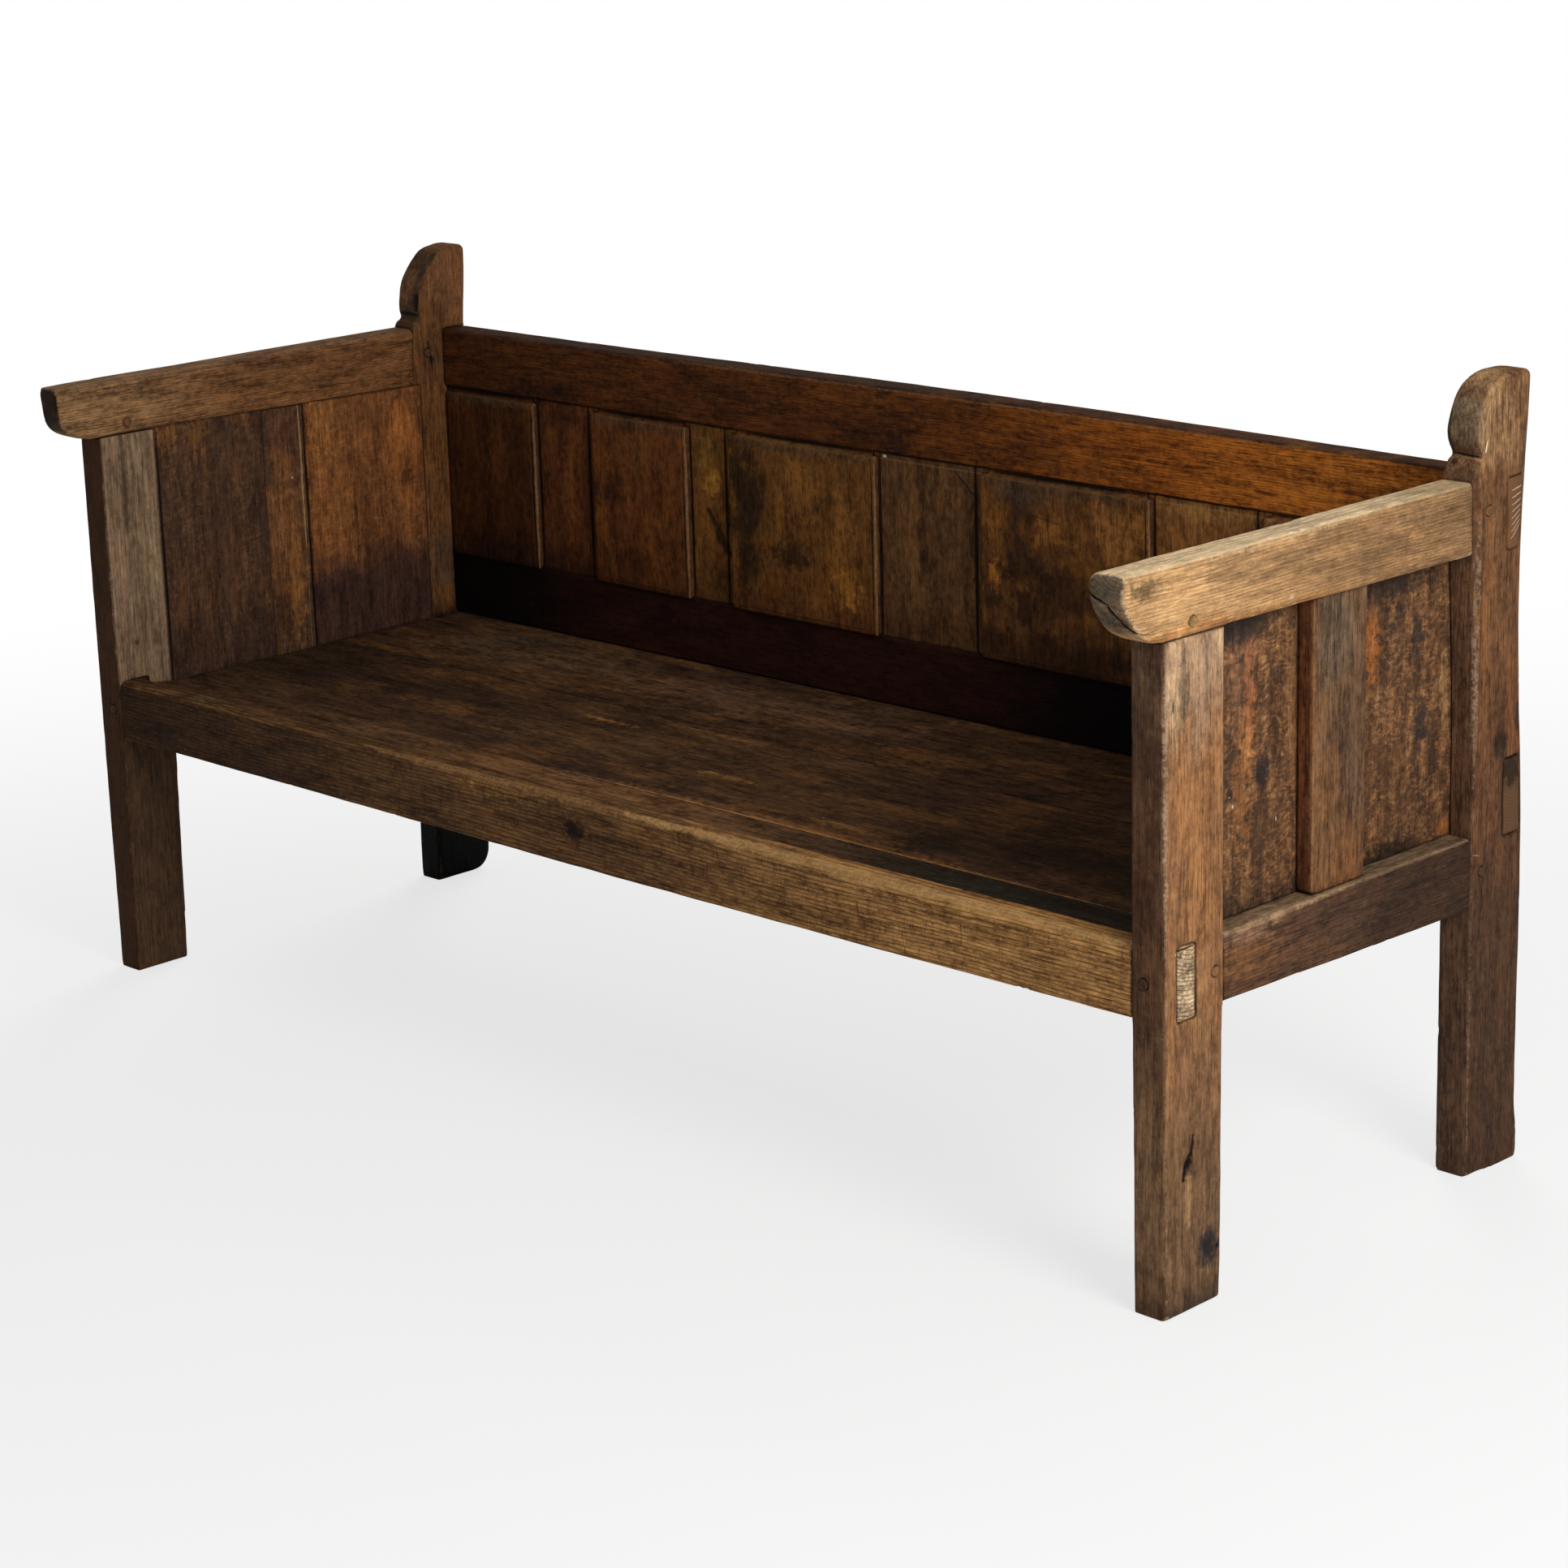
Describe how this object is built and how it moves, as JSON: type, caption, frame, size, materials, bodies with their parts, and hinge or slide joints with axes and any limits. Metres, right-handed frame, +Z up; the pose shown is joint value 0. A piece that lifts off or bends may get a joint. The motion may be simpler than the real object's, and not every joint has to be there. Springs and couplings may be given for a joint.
{
  "type": "monks bench",
  "caption": "Long pegged oak settle with panelled ends, flat arms, eared back posts, a back of raised and flat upright boards, and a boarded seat.",
  "frame": {"origin": "on the floor, under the middle of the bench's box", "axes": "+X along the bench, to the right seen from its front; +Y from its front to its back; +Z up"},
  "size_m": [1.9, 0.724, 0.949],
  "materials": {
    "post_oak": "waxed brown oak, rubbed pale on its corners",
    "arm_oak": "dry oak, bleached and scratched by use",
    "rail_oak": "waxed oak with a worn golden top edge",
    "back_rail_oak": "waxed red-brown oak",
    "dark_rail_oak": "nearly black old polish",
    "end_panel_oak": "waxed oak, mottled orange and black",
    "back_board_oak": "waxed oak, red-brown to olive",
    "seat_oak": "dark oak polished by sitting, with golden streaks",
    "peg_oak": "end grain, darkened",
    "under_seat_oak": "bare, dusty oak"
  },
  "bodies": {
    "root": {"front_post_left": "post_oak", "front_post_right": "post_oak", "back_post_left": "post_oak", "back_post_right": "post_oak", "arm_left": "arm_oak", "arm_right": "arm_oak", "side_rail_left": "rail_oak", "side_rail_right": "rail_oak", "front_seat_rail": "rail_oak", "back_top_rail": "back_rail_oak", "back_lower_rail": "dark_rail_oak", "rear_seat_rail": "under_seat_oak", "muntin_left": "end_panel_oak", "muntin_right": "end_panel_oak", "end_panel_front_left": "end_panel_oak", "end_panel_front_right": "end_panel_oak", "end_panel_rear_left": "end_panel_oak", "end_panel_rear_right": "end_panel_oak", "back_board_1": "back_board_oak", "back_board_2": "back_board_oak", "back_board_3": "back_board_oak", "back_board_4": "back_board_oak", "back_board_5": "back_board_oak", "back_board_6": "back_board_oak", "back_board_7": "back_board_oak", "back_board_8": "back_board_oak", "back_board_9": "back_board_oak", "seat_strip_front": "seat_oak", "seat_board_main": "seat_oak", "seat_board_rear": "seat_oak", "seat_bearer_left": "under_seat_oak", "seat_bearer_centre": "under_seat_oak", "seat_bearer_right": "under_seat_oak", "peg_arm_front_left": "peg_oak", "peg_arm_front_right": "peg_oak", "peg_arm_back_left": "peg_oak", "peg_arm_back_right": "peg_oak", "peg_side_rail_front_left": "peg_oak", "peg_side_rail_front_right": "peg_oak", "peg_side_rail_back_left": "peg_oak", "peg_side_rail_back_right": "peg_oak", "peg_seat_rail_left": "peg_oak", "peg_seat_rail_right": "peg_oak", "peg_top_rail_left": "peg_oak", "peg_top_rail_right": "peg_oak", "peg_lower_rail_left": "peg_oak", "peg_lower_rail_right": "peg_oak"}
  },
  "joints": []
}
